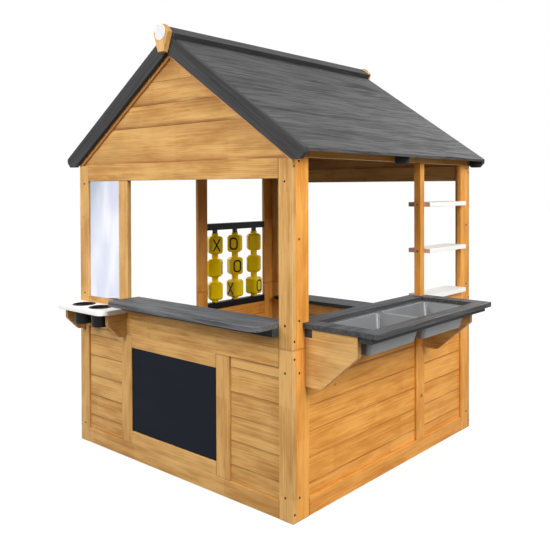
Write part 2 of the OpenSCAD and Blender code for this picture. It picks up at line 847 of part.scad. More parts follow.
module back_counter_ledger() {
    color("#4a4a4a") in_frame()
        board_x([-half_w + stile_w, house_d, back_sill_z - ledger_h],
                [house_w - 2 * stile_w, ledger_d, ledger_h]);
}

// Game panel
function rod_y(column) = game_ym + (column - 2) * rod_pitch;

module game_bars() {
    color("#303030") in_frame() difference() {
        for (z = [bar_z0, upper_bar_z0])
            board_y([game_x - bar_d / 2, game_y0 + joint_gap, z],
                    [bar_d, side_stile1 - game_y0 - 2 * joint_gap, bar_h]);
        for (column = [1 : 3])
            translate([game_x, rod_y(column), tumbler_z0 - rod_seat])
                cylinder(h = game_clear_h + 2 * rod_seat, r = rod_r);
    }
}

// Rods in the bars, each with the spacer that fills the gap under the upper bar
module game_rods() {
    spacer_z = tumbler_z0 + 3 * tumbler_h + stack_gap;
    color("#3a3a3a") in_frame()
        for (column = [1 : 3])
            translate([game_x, rod_y(column), 0]) {
                translate([0, 0, tumbler_z0 - rod_seat])
                    cylinder(h = game_clear_h + 2 * rod_seat, r = rod_r);
                translate([0, 0, spacer_z]) cylinder(h = upper_bar_z0 - spacer_z, d = spacer_d);
            }
}

// Four-sided tumbler with rounded corners and sloping shoulders, by column and then row from the top
module tumbler(column, row) {
    h = tumbler_h - stack_gap;
    side = tumbler_w - 2 * tumbler_corner_r;
    color("#d2b400") in_frame()
        translate([game_x, rod_y(column), tumbler_z0 + (3 - row) * tumbler_h + stack_gap])
            rotate(tumbler_turn[column - 1][row - 1]) difference() {
                union() {
                    hull()
                        for (inset = [0, shoulder])
                            translate([0, 0, collar_h + shoulder - inset])
                                linear_extrude(height = h - 2 * (collar_h + shoulder - inset))
                                    offset(r = tumbler_corner_r - inset, $fn = 32)
                                        square(side, center = true);
                    cylinder(h = h, d = collar_d);
                }
                translate([0, 0, -1]) cylinder(h = h + 2, r = rod_r + rod_play);
            }
}

// Visible screws: on the front and back stiles, on the sink wall and through the shelf post
module screws() {
    front = [[screw_inset, screw_end], [screw_inset, seam_h - screw_end],
             [screw_inset, seam_h + screw_end], [screw_inset, wall_h - screw_end]];
    color("#2a2a2a") in_frame() {
        for (back = [0, 1], side = [0, 1], p = front)
            translate([0, back * house_d, 0]) rotate(back * 180)
                translate([(side * 2 - 1) * (half_w - p.x), 0, p.y]) screw_head();
        for (y = [side_y0 + side_screw_inset, side_y1 - side_screw_inset], z = side_screws)
            translate([half_w, y, z]) rotate(90) screw_head();
        for (y = [edge_screw_inset, house_d - edge_screw_inset], z = edge_screws)
            translate([half_w, y, z]) rotate(90) screw_head();
        for (i = [1 : 1 : shelf_count - 1])
            translate([half_w - shelf_post_w / 2, post_y0, counter_h - board_t / 2 + i * shelf_pitch])
                screw_head();
    }
}

front_lower_frame();
front_cladding();
chalkboard();
front_upper_frame();
mirror();
sink_wall_lower_frame();
sink_wall_cladding();
sink_wall_upper_frame();
shelf_post();
left_wall_lower_frame();
left_wall_cladding();
left_wall_upper_frame();
back_lower_frame();
back_cladding();
back_upper_frame();
front_gable_boards();
back_gable_boards();
front_gable_battens();
back_gable_battens();
left_roof_panel();
right_roof_panel();
front_left_bargeboard();
front_right_bargeboard();
back_left_bargeboard();
back_right_bargeboard();
left_mid_rafter();
right_mid_rafter();
left_ridge_board();
right_ridge_board();
front_finial();
back_finial();
finial_disc();
serving_counter();
serving_counter_ledger();
cup_tray();
cup_tray_brackets();
left_cup();
right_cup();
sink_counter();
sink_counter_ledger();
sink_counter_apron();
near_sink_bracket();
far_sink_bracket();
near_basin();
far_basin();
shelves();
back_counter();
back_counter_ledger();
game_bars();
game_rods();
tumbler(1, 1);  // tumbler_1_1
tumbler(1, 2);  // tumbler_1_2
tumbler(1, 3);  // tumbler_1_3
tumbler(2, 1);  // tumbler_2_1
tumbler(2, 2);  // tumbler_2_2
tumbler(2, 3);  // tumbler_2_3
tumbler(3, 1);  // tumbler_3_1
tumbler(3, 2);  // tumbler_3_2
tumbler(3, 3);  // tumbler_3_3
screws();
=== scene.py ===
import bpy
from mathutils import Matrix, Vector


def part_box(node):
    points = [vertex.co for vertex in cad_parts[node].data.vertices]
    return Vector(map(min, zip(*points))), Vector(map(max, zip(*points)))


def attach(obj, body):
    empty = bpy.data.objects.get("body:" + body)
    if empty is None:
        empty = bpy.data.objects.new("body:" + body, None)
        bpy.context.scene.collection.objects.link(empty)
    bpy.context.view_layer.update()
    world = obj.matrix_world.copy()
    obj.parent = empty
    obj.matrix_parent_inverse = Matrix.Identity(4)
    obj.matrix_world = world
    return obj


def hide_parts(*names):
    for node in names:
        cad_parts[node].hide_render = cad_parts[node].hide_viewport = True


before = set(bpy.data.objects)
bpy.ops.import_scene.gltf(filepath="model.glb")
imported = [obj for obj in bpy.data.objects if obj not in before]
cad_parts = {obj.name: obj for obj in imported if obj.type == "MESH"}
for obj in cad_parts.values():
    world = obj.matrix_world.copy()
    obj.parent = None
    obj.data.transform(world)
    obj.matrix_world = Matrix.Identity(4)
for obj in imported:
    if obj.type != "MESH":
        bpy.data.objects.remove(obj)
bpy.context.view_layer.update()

import math
import bpy
import numpy as np
from mathutils.geometry import tessellate_polygon

# ---------------- floor, lights and camera
# The playhouse stands on a plain pale studio floor under large soft lights, placed high so that
# the room stays dim. The camera stands off the front right corner, at a child's eye height.


def paint(code):
    """A hex colour as the linear red, green, blue and alpha that the shader takes."""
    c = np.array([int(code[i:i + 2], 16) for i in (1, 3, 5)]) / 255
    linear = np.where(c <= 0.04045, c / 12.92, ((c + 0.055) / 1.055) ** 2.4)
    return (*linear.tolist(), 1.0)


def operator(operation, swapped=False):
    """The method by which a channel and another value make a Math node."""
    return lambda a, b: a.sum(operation, b, a) if swapped else a.sum(operation, a, b)


class Channel:
    """One value of a finish. Sums of channels add Math nodes, a tuple scales or shifts a vector."""

    __add__, __radd__ = operator("ADD"), operator("ADD", swapped=True)
    __sub__, __rsub__ = operator("SUBTRACT"), operator("SUBTRACT", swapped=True)
    __mul__, __rmul__ = operator("MULTIPLY"), operator("MULTIPLY", swapped=True)
    __truediv__, __pow__ = operator("DIVIDE"), operator("POWER")

    def __init__(self, tree, socket=None):
        self.tree, self.socket = tree, socket

    def node(self, kind, sockets=None, out=0, **settings):
        """A node of this type: its settings are set first, then its sockets get values or links."""
        made = self.tree.nodes.new("ShaderNode" + kind)
        for key, value in settings.items():
            setattr(made, key, value)
        for key, value in (sockets or {}).items():
            if isinstance(value, Channel):
                self.tree.links.new(value.socket, made.inputs[key])
            else:
                made.inputs[key].default_value = value
        return Channel(self.tree, made.outputs[out])

    def also(self, out):
        """Another output of the node that this channel comes from."""
        return Channel(self.tree, self.socket.node.outputs[out])

    def sum(self, operation, a, b):
        """A Math node, or a Vector Math node where a tuple or a vector takes part."""
        vector = any(isinstance(v, tuple) or isinstance(v, Channel) and v.socket.type == "VECTOR"
                     for v in (a, b))
        return self.node("VectorMath" if vector else "Math", {0: a, 1: b}, operation=operation)

    def __abs__(self):
        return self.node("Math", {0: self}, operation="ABSOLUTE")

    def stored(self, name, out="Vector"):
        """What a mesh stores under this name."""
        return self.node("Attribute", out=out, attribute_name=name)

    def spot(self):
        """The place on the object, in its own frame."""
        return self.node("TexCoord", out="Object")

    def parts(self):
        """The three numbers of a vector or colour."""
        first = self.node("SeparateXYZ", {0: self})
        return first, first.also(1), first.also(2)

    def whole(self, y, z):
        """The vector of this number and two more."""
        return self.node("CombineXYZ", {0: self, 1: y, 2: z})

    def rise(self, low, high):
        """0 at low and 1 at high, with a smooth climb between."""
        return self.node("MapRange", {0: self, 1: low, 2: high}, interpolation_type="SMOOTHSTEP")

    def wrap(self):
        """What is left over after the whole number."""
        return self.node("Math", {0: self}, operation="FRACT")

    def noise(self, detail=2.0):
        """Smooth noise round 0, from about -0.5 to 0.5, over this vector."""
        return self.node("TexNoise", {"Vector": self, "Scale": 1.0, "Detail": detail}) - 0.5

    def over(self, below, above):
        """This number is the share of the second colour over the first."""
        return self.node("Mix", {0: self, 6: below, 7: above}, out=2, data_type="RGBA")

    def bump(self, depth):
        """The surface normal of this height, in which 1 stands that many metres proud."""
        return self.node("Bump", {"Height": self, "Distance": depth})


def finish(name, recipe):
    """A material. Its recipe gives the shader's sockets as numbers or channels."""
    material = bpy.data.materials.new(name)
    material.use_nodes = True
    shader = material.node_tree.nodes["Principled BSDF"]
    for key, value in recipe(Channel(material.node_tree)).items():
        if isinstance(value, Channel):
            material.node_tree.links.new(value.socket, shader.inputs[key])
        else:
            shader.inputs[key].default_value = value
    return material


def soft_light(name, size, strength, place, aim):
    """A square lamp whose turn points its -Z at the place that it lights."""
    light = bpy.data.lights.new(name, "AREA")
    light.size, light.energy = size, strength
    stand = bpy.data.objects.new(name, light)
    way = np.subtract(aim, place)
    stand.location = place
    stand.rotation_euler = (math.acos(-way[2] / np.linalg.norm(way)), 0,
                            math.atan2(way[1], way[0]) - math.pi / 2)
    bpy.context.collection.objects.link(stand)


soft_light("front_light", 2.6, 205, (-0.5, -4.5, 3.0), (0, 0, 0.6))
soft_light("sink_side_light", 2.4, 248, (4.4, -0.9, 3.1), (0, 0, 0.7))
soft_light("top_light", 4.0, 13, (0.0, 0.4, 5.2), (0, 0, 1.0))
soft_light("left_light", 2.6, 100, (-4.6, 0.4, 3.0), (0, 0, 0.7))
soft_light("back_light", 2.6, 125, (0.4, 4.7, 3.0), (0, 0, 0.7))

studio = bpy.data.worlds.new("studio")
studio.use_nodes = True
bpy.context.scene.world = studio
air = Channel(studio.node_tree)
ray = air.node("LightPath")
shown = air.sum("MINIMUM", ray + ray.also("Is Glossy Ray") + ray.also("Is Transmission Ray"), 1.0)
background = studio.node_tree.nodes["Background"].inputs
studio.node_tree.links.new((shown * 0.98 + 0.02).socket, background["Strength"])
background["Color"].default_value = (1, 1, 1, 1)


def pale_floor(material):
    """White to the camera and in reflections, with a share of matt floor near the playhouse, so that
    it keeps the shadow. What it bounces into the room comes from a darker grey."""
    tree = material.node_tree
    at = Channel(tree)
    x, y, _ = at.spot().parts()
    near_edge, far_edge = 1.3, 2.6
    far = ((x * x + y * y) ** 0.5).rise(near_edge, far_edge)
    path = at.node("LightPath")
    seen = at.sum("MINIMUM", path + path.also("Is Glossy Ray"), 1.0)
    matt = at.node("BsdfDiffuse", {"Color": (0.94, 0.94, 0.94, 1)})
    white = at.node("Emission", {"Color": (1, 1, 1, 1), "Strength": 1.05})
    pale = at.node("MixShader", {0: far * 0.2 + 0.8, 1: matt, 2: white})
    bounce = Channel(tree, tree.nodes["Principled BSDF"].outputs[0])
    both = at.node("MixShader", {0: seen, 1: bounce, 2: pale})
    tree.links.new(both.socket, tree.nodes["Material Output"].inputs["Surface"])


floor_mesh = bpy.data.meshes.new("floor")
span = 30
floor_mesh.from_pydata([(-span, -span, 0), (span, -span, 0), (span, span, 0), (-span, span, 0)],
                       [], [(0, 1, 2, 3)])
grey = finish("pale_floor", lambda at: {"Base Color": (0.14, 0.14, 0.14, 1), "Roughness": 0.9})
pale_floor(grey)
floor_mesh.materials.append(grey)
floor = bpy.data.objects.new("floor", floor_mesh)
bpy.context.collection.objects.link(floor)

camera_data = bpy.data.cameras.new("camera")
camera_data.lens = 45.37
camera_data.shift_x, camera_data.shift_y = -0.0887, -0.1404
camera = bpy.data.objects.new("camera", camera_data)
camera.location = (1.9325, -2.1756, 1.0505)
camera.rotation_euler = [math.radians(turn) for turn in (89.282, 0.129, 39.363)]
bpy.context.collection.objects.link(camera)
bpy.context.scene.camera = camera
bpy.context.scene.view_settings.view_transform = "Standard"

# ---------------- front wall
# Two framed panels of 18 mm stained spruce, one on the other: stiles, rails and posts round two
# fields of cladding, the chalkboard, the mirror and the serving opening. The cladding boards have
# bevelled edges that make a groove at each seam, and sit 8 mm behind the frame.


def box_of(node):
    """Lowest and highest corner of a CAD node."""
    return [np.array(corner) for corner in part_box(node)]


def corners_of(node):
    """Lowest and highest corner of each separate solid in a CAD node. A copy of its loose triangles
    is merged, and each point then takes the smallest number in its triangles until none changes."""
    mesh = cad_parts[node].data
    points = np.empty(len(mesh.vertices) * 3, np.float32)
    mesh.vertices.foreach_get("co", points)
    points = points.reshape(-1, 3)
    used = np.empty(len(mesh.loops), np.int32)
    mesh.loops.foreach_get("vertex_index", used)
    cell_size = 0.00005
    cells = np.round(points / cell_size).astype(int)
    same = np.unique(cells, axis=0, return_inverse=True)[1].ravel()
    triangles, label = same[used].reshape(-1, 3), np.arange(same.max() + 1)
    while True:
        least = label.copy()
        np.minimum.at(least, triangles.ravel(), np.repeat(label[triangles].min(1), 3))
        if (least == label).all():
            break
        label = least
    groups = [points[label[same] == i].astype(float) for i in np.unique(label)]
    return [(g.min(0), g.max(0)) for g in groups]


least_bend = 0.0002
broad_bend = 0.005


def rounded(outline, radius, steps=2):
    """Outline with its corners rounded: a corner's points lie at its radius round a centre on the
    bisector, swept from one edge to the next. Also gives each point's arris share, which the finishes
    turn into a painted highlight: 1 in the middle of an outer arris and 0 in hollow corners and on broad
    bends."""
    p = np.asarray(outline, float)
    r = np.broadcast_to(np.maximum(radius, least_bend), len(p))[:, None]
    a, b = np.roll(p, 1, 0) - p, np.roll(p, -1, 0) - p
    a, b = a / np.linalg.norm(a, axis=1)[:, None], b / np.linalg.norm(b, axis=1)[:, None]
    half = np.arccos(np.clip((a * b).sum(1), -1, 1))[:, None] / 2
    middle = p + (a + b) / np.linalg.norm(a + b, axis=1)[:, None] * r / np.sin(half)
    arm = p + a * r / np.tan(half) - middle
    turn = np.sign(a[:, 1] * b[:, 0] - a[:, 0] * b[:, 1])[:, None]
    g = turn * (np.pi - 2 * half) * np.linspace(0, 1, steps + 1)
    swept = np.stack([arm[:, :1] * np.cos(g) - arm[:, 1:] * np.sin(g),
                      arm[:, :1] * np.sin(g) + arm[:, 1:] * np.cos(g)], -1)
    # The arris share drives the painted highlight on outer arrises.
    arris_share = np.sin(np.pi * np.linspace(0, 1, steps + 1)) * ((r < broad_bend) & (turn > 0))
    return (middle[:, None] + swept).reshape(-1, 2), arris_share.ravel()


def rings(rows, columns, first=0):
    """Faces between closed rings of points that follow one another."""
    i = np.arange(rows - 1)[:, None] * columns + np.arange(columns)
    j = np.arange(rows - 1)[:, None] * columns + (np.arange(columns) + 1) % columns
    return (np.stack([i, j, j + columns, i + columns], -1).reshape(-1, 4) + first).tolist()


def plate(outline, low, high, axis, corner, ease, holes, steps):
    """An outline, drawn in x and y, in x and z or in y and z, is carried along the third axis. At
    both ends each point moves in by ease * (1 - sin a) while it moves along by ease * (1 - cos a),
    so the arris is a quarter circle. Corner radii stay above the ease, so that no end crosses
    itself. Gives the points, the faces, and each point's arris share for the painted highlight."""
    roomy = 1.05
    flat = {"x": (1, 2), "y": (0, 2), "z": (0, 1)}[axis]
    third, mirrored = "xyz".index(axis), axis == "y"
    a = np.linspace(0, np.pi / 2, steps + 1)
    inset = np.concatenate([ease * (1 - np.sin(a)), ease * (1 - np.sin(a[::-1]))])
    place = np.concatenate([low + ease * (1 - np.cos(a)), high - ease * (1 - np.cos(a[::-1]))])
    rim = np.concatenate([np.sin(2 * a), np.sin(2 * a[::-1])])
    points, faces, arris_share, caps = [], [], [], []
    for k, loop in enumerate([outline, *holes]):
        loop = np.asarray(loop, float)
        area = (loop[:, 0] * np.roll(loop[:, 1], -1) - loop[:, 1] * np.roll(loop[:, 0], -1)).sum()
        if (area < 0) == (k == 0):
            loop = loop[::-1]
            corner = corner[::-1] if np.ndim(corner) else corner
        edge, bend = rounded(loop, np.maximum(corner, ease * roomy) if k == 0 else least_bend, steps)
        side = np.roll(edge, -1, 0) - edge
        normal = np.stack([-side[:, 1], side[:, 0]], -1) / np.linalg.norm(side, axis=1)[:, None]
        before = np.roll(normal, 1, 0)
        mitre = (before + normal) / (1 + (before * normal).sum(1))[:, None]
        first, count = sum(map(len, points)), len(edge)
        ring = np.empty((len(inset), count, 3))
        ring[..., flat] = edge + inset[:, None, None] * mitre
        ring[..., third] = place[:, None]
        points.append(ring.reshape(-1, 3))
        arris_share.append(np.maximum(rim[:, None], bend).ravel())
        made = rings(len(inset), count, first)
        faces += [f[::-1] for f in made] if mirrored else made
        caps.append((first, count))
    points, arris_share = np.concatenate(points), np.concatenate(arris_share)
    for top in (0, 1):
        ends = [first + top * (len(inset) - 1) * count + np.arange(count) for first, count in caps]
        index = np.concatenate(ends)
        cap = [index.tolist()]
        if len(ends) > 1:
            drawn = [np.pad(points[end][:, flat], ((0, 0), (0, 1))).tolist() for end in ends]
            cap = np.array(tessellate_polygon(drawn))
            u, v, w = (points[index[cap[:, k]]][:, flat] for k in range(3))
            leftward = (v - u)[:, 0] * (w - u)[:, 1] > (v - u)[:, 1] * (w - u)[:, 0]
            cap = index[np.where(leftward[:, None], cap, cap[:, ::-1])].tolist()
        faces += [c if (top == 1) != mirrored else c[::-1] for c in cap]
    return points, faces, arris_share


timber = np.random.default_rng(11)


def sawn(outline, low, high, axis, grain, corner, ease, holes=(), steps=2, arris_highlight_and_groove=1.0):
    """One board with what its finish needs to know. "log" is the place in the log it was sawn
    from: along the grain, and across and through the board from the pith. "board" is the place
    across the board, half its width and its own tone; "end" is the place along it, half its
    length and 1 on its cut ends. The arris value gives a painted highlight on outer arrises; below 0
    it marks grooves that get stain and painted shade. Other boards have no seam, so their half
    width is put far out."""
    seamless, hair = 1.0, 0.00001
    points, faces, arris_share = plate(outline, low, high, axis, corner, ease, holes, steps)
    size = points.max(0) - points.min(0)
    grain = np.asarray(grain, float)
    through = np.eye(3)[np.argmin(size + 9 * np.abs(grain))]
    across = np.cross(through, grain)
    across = across * np.copysign(1.0, across.sum())
    pith = [timber.uniform(0, 40), timber.uniform(-0.03, 0.03),
            timber.choice([-1, 1]) * timber.uniform(0.02, 0.07)]
    local = points - points.mean(0)
    along, up, deep = local @ grain, local @ across, local @ through
    half = np.ptp(up) / 2 if arris_highlight_and_groove < 0 else seamless
    tone = timber.uniform(-1, 1)
    log = np.stack([along, up, deep], -1) + pith
    reach = np.ptp(along) / 2
    along = along - along.min() - reach
    tip = np.abs(along) > reach - hair
    return {"points": points, "faces": faces, "log": log, "arris_highlight_and_groove": arris_share * arris_highlight_and_groove,
            "board": np.stack([up, np.full(len(up), half), np.full(len(up), tone)], -1),
            "end": np.stack([along, np.full(len(up), reach), tip], -1)}


def oblong(low, high):
    """The four corners of a rectangle, from two numbers of its lowest and its highest corner."""
    return [(low[0], low[1]), (high[0], low[1]), (high[0], high[1]), (low[0], high[1])]


def board(low, high, corner=0.002, arris_highlight_and_groove=1.0):
    """A sawn board between two corners, whose grain follows its longest side."""
    k = int(np.argmax(np.subtract(high, low)))
    flat = [i for i in range(3) if i != k]
    return sawn(oblong(low[flat], high[flat]), low[k], high[k], "xyz"[k], np.eye(3)[k], corner, 0.0006,
                arris_highlight_and_groove=arris_highlight_and_groove)


def piece(name, parts, material, node, body="house", sharp=40):
    """Joins worked-out parts into one mesh that rides on a body and stands for a CAD node."""
    points = np.concatenate([p["points"] for p in parts])
    shift = np.cumsum([0] + [len(p["points"]) for p in parts])
    faces = [[i + s for i in f] for p, s in zip(parts, shift) for f in p["faces"]]
    mesh = bpy.data.meshes.new(name)
    mesh.from_pydata(points.tolist(), [], faces)
    for key in parts[0]:
        if key not in ("points", "faces"):
            values = np.concatenate([p[key] for p in parts]).astype(np.float32)
            kind, field = ("FLOAT", "value") if values.ndim == 1 else ("FLOAT_VECTOR", "vector")
            mesh.attributes.new(key, kind, "POINT").data.foreach_set(field, values.ravel())
    mesh.shade_smooth()
    mesh.set_sharp_from_angle(angle=math.radians(sharp))
    mesh.materials.append(material)
    made = bpy.data.objects.new(name, mesh)
    bpy.context.collection.objects.link(made)
    made.modifiers.new("even_shading", "WEIGHTED_NORMAL").keep_sharp = True
    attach(made, body)
    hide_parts(node)


def framing(node, stain):
    """The members of a frame, each sawn from its own log."""
    piece(node + "_boards", [board(*c) for c in corners_of(node)], stain, node)


def cladding(node, stain):
    """Boards side by side, with narrow bevels whose seams get stain and painted shade."""
    piece(node + "_boards", [board(*c, corner=0.0012, arris_highlight_and_groove=-1.0) for c in corners_of(node)],
          stain, node)


def stained_wood(name, pale, deep, groove, arris_highlight):
    """Finger-jointed spruce under a clear stain. Each board is glued from blocks with their own
    grain. Growth rings follow the distance from the pith, bent by slow noise and pushed out round
    the knots; each ring darkens slowly and ends sharply. Painted shade lies in a patchy band
    along one edge of each seam and along both ends of each board, where it butts on the next. The
    cladding's grooves get stain and painted shade, cut ends are a little darker, and outer arrises
    get a paler painted highlight."""
    block_length, finger_pitch, finger_depth = 0.31, 1 / 110, 0.012
    knot_cell, ring_width = 0.17, 0.0052

    def recipe(at):
        log = at.stored("log")
        arris_highlight_and_groove = at.stored("arris_highlight_and_groove", "Fac")
        across, half, tone = at.stored("board").parts()
        along, reach, tip = at.stored("end").parts()
        x, y, z = log.parts()
        fingers = abs((y / finger_pitch).wrap() - 0.5) * finger_depth
        block = at.node("TexVoronoi", {"W": (x + fingers) / block_length, "Scale": 1.0}, out="Color",
                        voronoi_dimensions="1D")
        shift, tilt, hue = block.parts()
        y, z = y + (shift - 0.5) * 0.07, z + (tilt - 0.5) * 0.04
        knot = at.node("TexVoronoi", {"Vector": (x / knot_cell).whole(y / knot_cell, hue), "Scale": 1.0},
                       voronoi_dimensions="2D")
        away = knot * knot_cell
        pick, girth, _ = knot.also("Color").parts()
        present = pick.rise(0.95, 0.96)
        girth = girth * 0.003 + 0.003
        bulge = away.rise(0.045, 0.0) * present
        slow = (log * (1.3, 9.0, 9.0)).noise()
        ring = ((y * y + z * z) ** 0.5 + slow * 0.012 + bulge * 0.010) / ring_width
        part = ring.wrap()
        late = part.rise(0.2, 0.9) * (1 - part.rise(0.93, 1.0))
        streak = (log * (2.6, 70.0, 70.0)).noise(3.0)
        cloud = (log * (5.0, 19.0, 19.0)).noise(3.0)
        vein = (log * (11.0, 130.0, 130.0)).noise(3.0)
        fibre = (log * (30.0, 1100.0, 1100.0)).noise(2.0)
        depth = late * 0.14 + streak * 0.5 + cloud * 1.15 + vein * 0.6 + fibre * 0.2 + tone * 0.08
        depth = depth + (hue - 0.5) * 0.15
        colour = (depth + 0.36).rise(0.0, 1.0).over(paint(pale), paint(deep))
        # Painted shade: a soft, patchy dark band along one edge of each seam.
        seam = (half - across + cloud * 0.03).rise(0.009, 0.0)
        patchy = (cloud + streak).rise(-0.4, 0.15) * 0.7
        colour = (seam * patchy).over(colour, paint(groove))
        ringed = away / girth
        colour = (ringed.rise(1.9, 1.0) * present * 0.75).over(colour, paint(groove))
        colour = (ringed.rise(0.95, 0.6) * present * 0.9).over(colour, paint("#7A4A22"))
        # Painted shade at both ends of each board, where it butts on the next; cut ends are also a little
        # darker.
        butt_end_shade = (reach - abs(along)).rise(0.0045, 0.001) * 0.45
        colour = (butt_end_shade + tip * 0.1).over(colour, paint(groove))
        # Painted highlight on outer arrises; where the arris value is below 0, stain and painted shade in
        # the grooves.
        colour = (arris_highlight_and_groove * 0.3).over(colour, paint(arris_highlight))
        colour = (arris_highlight_and_groove * -0.5).over(colour, paint(groove))
        height = late * 0.5 + fibre * 0.8 + streak * 0.8 - bulge * ringed.rise(1.3, 0.9) * 0.6
        return {"Base Color": colour, "Roughness": streak * 0.3 + late * 0.08 + 0.46,
                "Normal": height.bump(0.0004), "Specular IOR Level": 0.22,
                "Coat Weight": 0.04, "Coat Roughness": 0.35}

    return finish(name, recipe)


front_stain = stained_wood("front_stain", "#E0B06B", "#A97230", "#87511F", "#E9C58A")
framing("front_lower_frame", front_stain)
framing("front_upper_frame", front_stain)
cladding("front_cladding", front_stain)

# ---------------- chalkboard
# A sheet of hardboard with matt blackboard paint, held between its posts and strips. It carries
# the faint smears that a dry cloth leaves.


def board_paint(at):
    """Clouds drawn out along the wiping strokes lie faintly over the dark paint."""
    spot = at.spot()
    strokes = (spot * (4.0, 1.0, 22.0)).noise(3.0) + (spot * (2.2, 1.0, 3.0)).noise(2.0)
    grit = (spot * (900.0, 900.0, 900.0)).noise(1.0)
    return {"Base Color": strokes.rise(0.1, 0.7).over(paint("#10161E"), paint("#1B2129")),
            "Roughness": strokes * 0.1 + 0.82, "Specular IOR Level": 0.15, "Normal": grit.bump(0.00015)}


slate = finish("blackboard_paint", board_paint)
low, high = box_of("chalkboard")
sheet = sawn(oblong(low[[0, 2]], high[[0, 2]]), low[1], high[1], "y", (1, 0, 0), 0.001, 0.0008)
piece("chalkboard_sheet", [sheet], slate, "chalkboard")

# ---------------- mirror
# A 3 mm acrylic mirror with eased edges stands beside the serving opening, held between members
# of the front frame and set back a little behind their face.
low, high = box_of("mirror")


def mirror_sheet():
    """Three closed rectangles: round the back, round the edge, and round the face just inside it."""
    ease = 0.0006
    inset, depth = np.array([0.0, 0.0, ease]), np.array([high[1], low[1] + ease, low[1]])
    right, top = np.array([0, 1, 1, 0]), np.array([0, 0, 1, 1])
    ring = np.empty((3, 4, 3))
    ring[..., 0] = np.where(right, high[0] - inset[:, None], low[0] + inset[:, None])
    ring[..., 2] = np.where(top, high[2] - inset[:, None], low[2] + inset[:, None])
    ring[..., 1] = depth[:, None]
    return {"points": ring.reshape(-1, 3), "faces": rings(3, 4) + [[8, 9, 10, 11], [3, 2, 1, 0]]}


def silvering(at):
    """Acrylic over a silver coat. Its colour carries a painted reflection: cool tall soft clouds,
    deepening towards the upper left corner."""
    spot = at.spot()
    x, _, z = spot.parts()
    cloud = (spot * (9.0, 1.0, 2.6)).noise()
    # Painted reflection: soft clouds and a deeper upper left corner in the mirror's own colour.
    corner = (x - float(low[0])) * 1.5 + (float(high[2]) - z) * 0.9 + cloud * 0.12
    painted_reflection = cloud.rise(-0.04, 0.2).over(paint("#DDE1F2"), paint("#F4F6FD"))
    return {"Base Color": corner.rise(0.30, 0.0).over(painted_reflection, paint("#B4BFD0")), "Metallic": 1.0,
            "Roughness": (spot * (40.0, 1.0, 9.0)).noise() * 0.04 + 0.09}


piece("mirror_pane", [mirror_sheet()], finish("mirror_silver", silvering), "mirror", sharp=1)

# ---------------- sink wall
# The right wall, of the same boards under a lighter, more orange copy of the front stain, which
# is painted light for the stronger light on this side: a clad lower frame in two fields, and
# above it the sink opening and the shelf bay, with a square post between them.
# Painted light: the sink wall's stain is the front stain made lighter and more orange.
side_lit_stain = stained_wood("side_lit_stain", "#F7B055", "#C97B20", "#95480F", "#FBC476")
for node in ("sink_wall_lower_frame", "sink_wall_upper_frame", "shelf_post"):
    framing(node, side_lit_stain)
cladding("sink_wall_cladding", side_lit_stain)

# ---------------- left wall
# The doorway takes the front half. Behind it stands a clad panel with the game bay over it, of
# the same boards as the sink wall and under its lit copy of the stain (painted light).
framing("left_wall_lower_frame", side_lit_stain)
framing("left_wall_upper_frame", side_lit_stain)
cladding("left_wall_cladding", side_lit_stain)

# ---------------- back wall
# A low clad panel stands under the back counter, with a wide framed opening above it, of the
# same boards and stain as the front wall.
framing("back_lower_frame", front_stain)
framing("back_upper_frame", front_stain)
cladding("back_cladding", front_stain)

# ---------------- gables
# Two rake battens stand on the head rail and carry the roof. Level boards with bevelled edges fill
# the field between them, set back like the cladding below, with their ends cut to the rakes.
roof_low, roof_high = box_of("right_roof_panel")
ridge_x, eave_x = roof_low[0], roof_high[0]
pitch = math.radians(33.5)
roof_fall = math.tan(pitch)
sheet_thickness = 0.010
roof_drop = sheet_thickness / math.cos(pitch)
apex = roof_high[2]
field_top = max(high[2] for low, high in corners_of("front_gable_boards"))


def gable_board(low, high):
    """A level board cut along both rakes. The highest one comes to a point. Its place across and
    half width are changed so that a wider band of painted shade lies along the lower edge."""
    foot, head = ((field_top - z) / roof_fall for z in (low[2], high[2]))
    pointed, wider_shade = head <= 0.002, 0.004
    line = [(ridge_x - foot, low[2]), (ridge_x + foot, low[2])]
    line += [(ridge_x, high[2])] if pointed else [(ridge_x + head, high[2]), (ridge_x - head, high[2])]
    made = sawn(line, low[1], high[1], "y", (1, 0, 0), 0.002, 0.0015, arris_highlight_and_groove=-1.0)
    # Painted shade: the seam band turns to the lower edge and widens.
    made["board"] = made["board"] * (-1, 1, 1) - (0, wider_shade, 0)
    return made


for node in ("front_gable_boards", "back_gable_boards"):
    piece(node + "_cut", [gable_board(*c) for c in corners_of(node)], front_stain, node)


def rake_stain(at):
    """The stain of the gable on battens whose grain runs down the slope, on both sides alike."""
    x, y, z = at.spot().parts()
    side = abs(x - float(ridge_x))
    down = side * math.cos(pitch) - z * math.sin(pitch)
    over = side * math.sin(pitch) + z * math.cos(pitch)
    log = (down + 3.0).whole(over, y)
    streak, fibre = (log * (2.6, 90.0, 90.0)).noise(3.0), (log * (30.0, 900.0, 900.0)).noise()
    ring = (over - 1.0) * 160.0 + (log * (1.5, 12.0, 12.0)).noise() * 3.0
    late = ring.wrap().rise(0.2, 1.0)
    depth = streak + late * 0.35 + fibre * 0.3 + 0.3
    return {"Base Color": depth.over(paint("#D49A55"), paint("#A66B2C")),
            "Roughness": streak * 0.3 + 0.48, "Normal": (late + fibre).bump(0.0003)}


rakes = finish("rake_stain", rake_stain)
for node in ("front_gable_battens", "back_gable_battens"):
    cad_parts[node].material_slots[0].material = rakes

# ---------------- roof panels
# Two sheets of 10 mm board with a dark grey stain that lets a lively grain through. The grain
# runs along the house. Their edges are cut plumb at the ridge and the eave.


